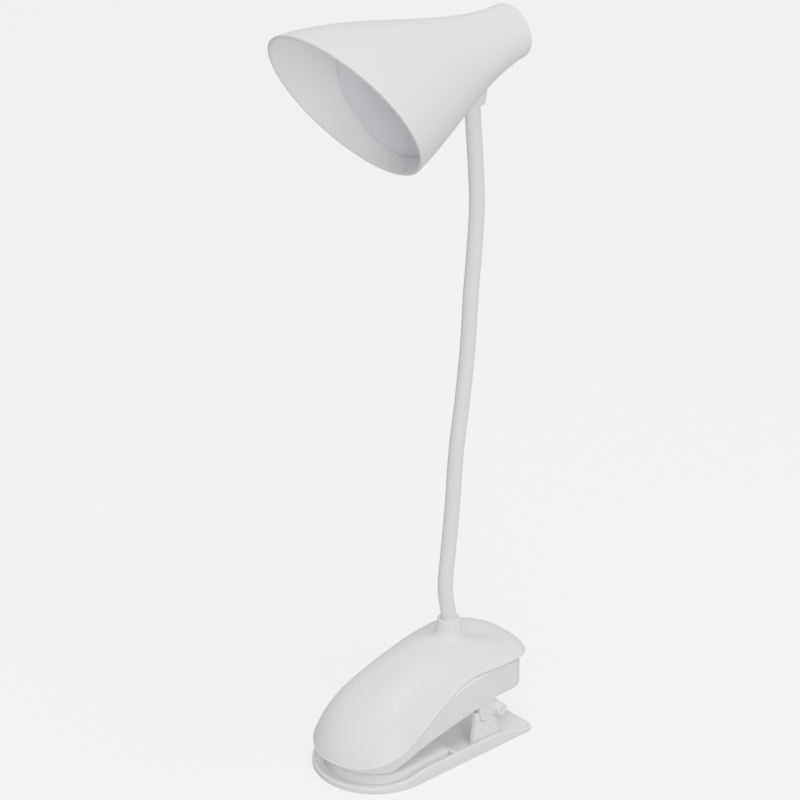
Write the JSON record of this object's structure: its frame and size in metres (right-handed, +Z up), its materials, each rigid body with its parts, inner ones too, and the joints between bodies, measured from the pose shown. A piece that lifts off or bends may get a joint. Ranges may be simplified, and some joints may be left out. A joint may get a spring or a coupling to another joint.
{
  "type": "clip on reading lamp",
  "caption": "Battery reading lamp with a sprung clip base, a flexible sleeved neck and a tilted bell-shaped shade over a recessed diffuser.",
  "frame": {"origin": "point on the flat underside of the lower jaw, on the plane of symmetry, near the middle of the tray", "axes": "+Z up along the neck, -Y towards the mouth of the clip and of the shade, +X to the lamp's right when seen from behind the shade"},
  "size_m": [0.0982, 0.1344, 0.4128],
  "materials": {
    "white_abs": "satin white moulded plastic",
    "neck_silicone": "matte light grey-white silicone",
    "pad_silicone": "matte white silicone",
    "opal_diffuser": "opal, slightly blue",
    "spring_steel": "plated steel",
    "plated_brass": "nickel-plated brass",
    "white_board": "white solder mask",
    "cell_wrap": "shrink wrap",
    "lead_sleeve": "PVC sleeve"
  },
  "bodies": {
    "lower_jaw": {"lower_tray": "white_abs", "lower_grip_pad": "pad_silicone", "hinge_pin": "spring_steel", "hinge_sleeve": "white_abs", "pin_cap_left": "white_abs", "pin_cap_right": "white_abs", "torsion_spring": "spring_steel"},
    "upper_jaw": {"battery_cell": "cell_wrap", "battery_lead": "lead_sleeve", "bottom_casing": "white_abs", "casing_screw_1": "spring_steel", "casing_screw_2": "spring_steel", "casing_screw_3": "spring_steel", "casing_screw_4": "spring_steel", "circuit_board": "white_board", "neck_bush": "plated_brass", "neck_nut": "plated_brass", "tact_switch": "spring_steel", "top_shell": "white_abs", "upper_grip_pad": "pad_silicone", "usb_socket": "spring_steel"},
    "button": {"power_button": "white_abs"},
    "neck_link_1": {"neck_sleeve_1": "neck_silicone", "neck_core_1": "spring_steel"},
    "neck_link_2": {"neck_sleeve_2": "neck_silicone", "neck_core_2": "spring_steel"},
    "neck_link_3": {"neck_sleeve_3": "neck_silicone", "neck_core_3": "spring_steel"},
    "neck_link_4": {"neck_sleeve_4": "neck_silicone", "neck_core_4": "spring_steel"},
    "neck_link_5": {"neck_sleeve_5": "neck_silicone", "neck_core_5": "spring_steel"},
    "neck_link_6": {"neck_sleeve_6": "neck_silicone", "neck_core_6": "spring_steel"},
    "neck_link_7": {"neck_sleeve_7": "neck_silicone", "neck_core_7": "spring_steel"},
    "neck_link_8": {"neck_sleeve_8": "neck_silicone", "neck_core_8": "spring_steel", "lamp_shade": "white_abs", "neck_socket": "white_abs", "socket_nut": "plated_brass", "led_carrier": "white_abs", "led_board": "white_board", "diffuser": "opal_diffuser", "board_screw_1": "spring_steel", "board_screw_2": "spring_steel", "board_screw_3": "spring_steel"}
  },
  "joints": [
    {"name": "clip_open", "type": "hinge", "parent": "lower_jaw", "child": "upper_jaw", "pos_m": [0, 0.0351, 0.0197], "axis": [-1, 0, 0], "range_deg": [0, 30], "stiffness_Nm_per_rad": 0.9, "springref_deg": -51.57, "deforming": ["torsion_spring"]},
    {"name": "button_press", "type": "slide", "parent": "upper_jaw", "child": "button", "axis": [0, -0.2756, -0.9613], "range_m": [0, 0.0008], "stiffness_N_per_m": 1500, "springref_m": -0.0004},
    {"name": "neck_bend_1", "type": "hinge", "parent": "upper_jaw", "child": "neck_link_1", "pos_m": [0, 0.02444, 0.0674], "axis": [1, 0, 0], "range_deg": [-22, 22]},
    {"name": "neck_lean_1", "type": "hinge", "parent": "neck_link_1", "child": "neck_link_2", "pos_m": [0, 0.02343, 0.10322], "axis": [0, 1, 0], "range_deg": [-22, 22]},
    {"name": "neck_bend_2", "type": "hinge", "parent": "neck_link_2", "child": "neck_link_3", "pos_m": [0, 0.02698, 0.13905], "axis": [1, 0, 0], "range_deg": [-22, 22]},
    {"name": "neck_lean_2", "type": "hinge", "parent": "neck_link_3", "child": "neck_link_4", "pos_m": [0, 0.03052, 0.17488], "axis": [0, 1, 0], "range_deg": [-22, 22]},
    {"name": "neck_bend_3", "type": "hinge", "parent": "neck_link_4", "child": "neck_link_5", "pos_m": [0, 0.03533, 0.2107], "axis": [1, 0, 0], "range_deg": [-22, 22]},
    {"name": "neck_lean_3", "type": "hinge", "parent": "neck_link_5", "child": "neck_link_6", "pos_m": [0, 0.03795, 0.24652], "axis": [0, 1, 0], "range_deg": [-22, 22]},
    {"name": "neck_bend_4", "type": "hinge", "parent": "neck_link_6", "child": "neck_link_7", "pos_m": [0, 0.04105, 0.28235], "axis": [1, 0, 0], "range_deg": [-22, 22]},
    {"name": "neck_lean_4", "type": "hinge", "parent": "neck_link_7", "child": "neck_link_8", "pos_m": [0, 0.04059, 0.31817], "axis": [0, 1, 0], "range_deg": [-22, 22]}
  ],
  "couplings": [
    {"joint": "neck_bend_2", "follows": "neck_bend_1", "ratio": 1},
    {"joint": "neck_bend_4", "follows": "neck_bend_3", "ratio": 1},
    {"joint": "neck_lean_2", "follows": "neck_lean_1", "ratio": 1},
    {"joint": "neck_lean_3", "follows": "neck_lean_1", "ratio": 1},
    {"joint": "neck_lean_4", "follows": "neck_lean_1", "ratio": 1}
  ]
}
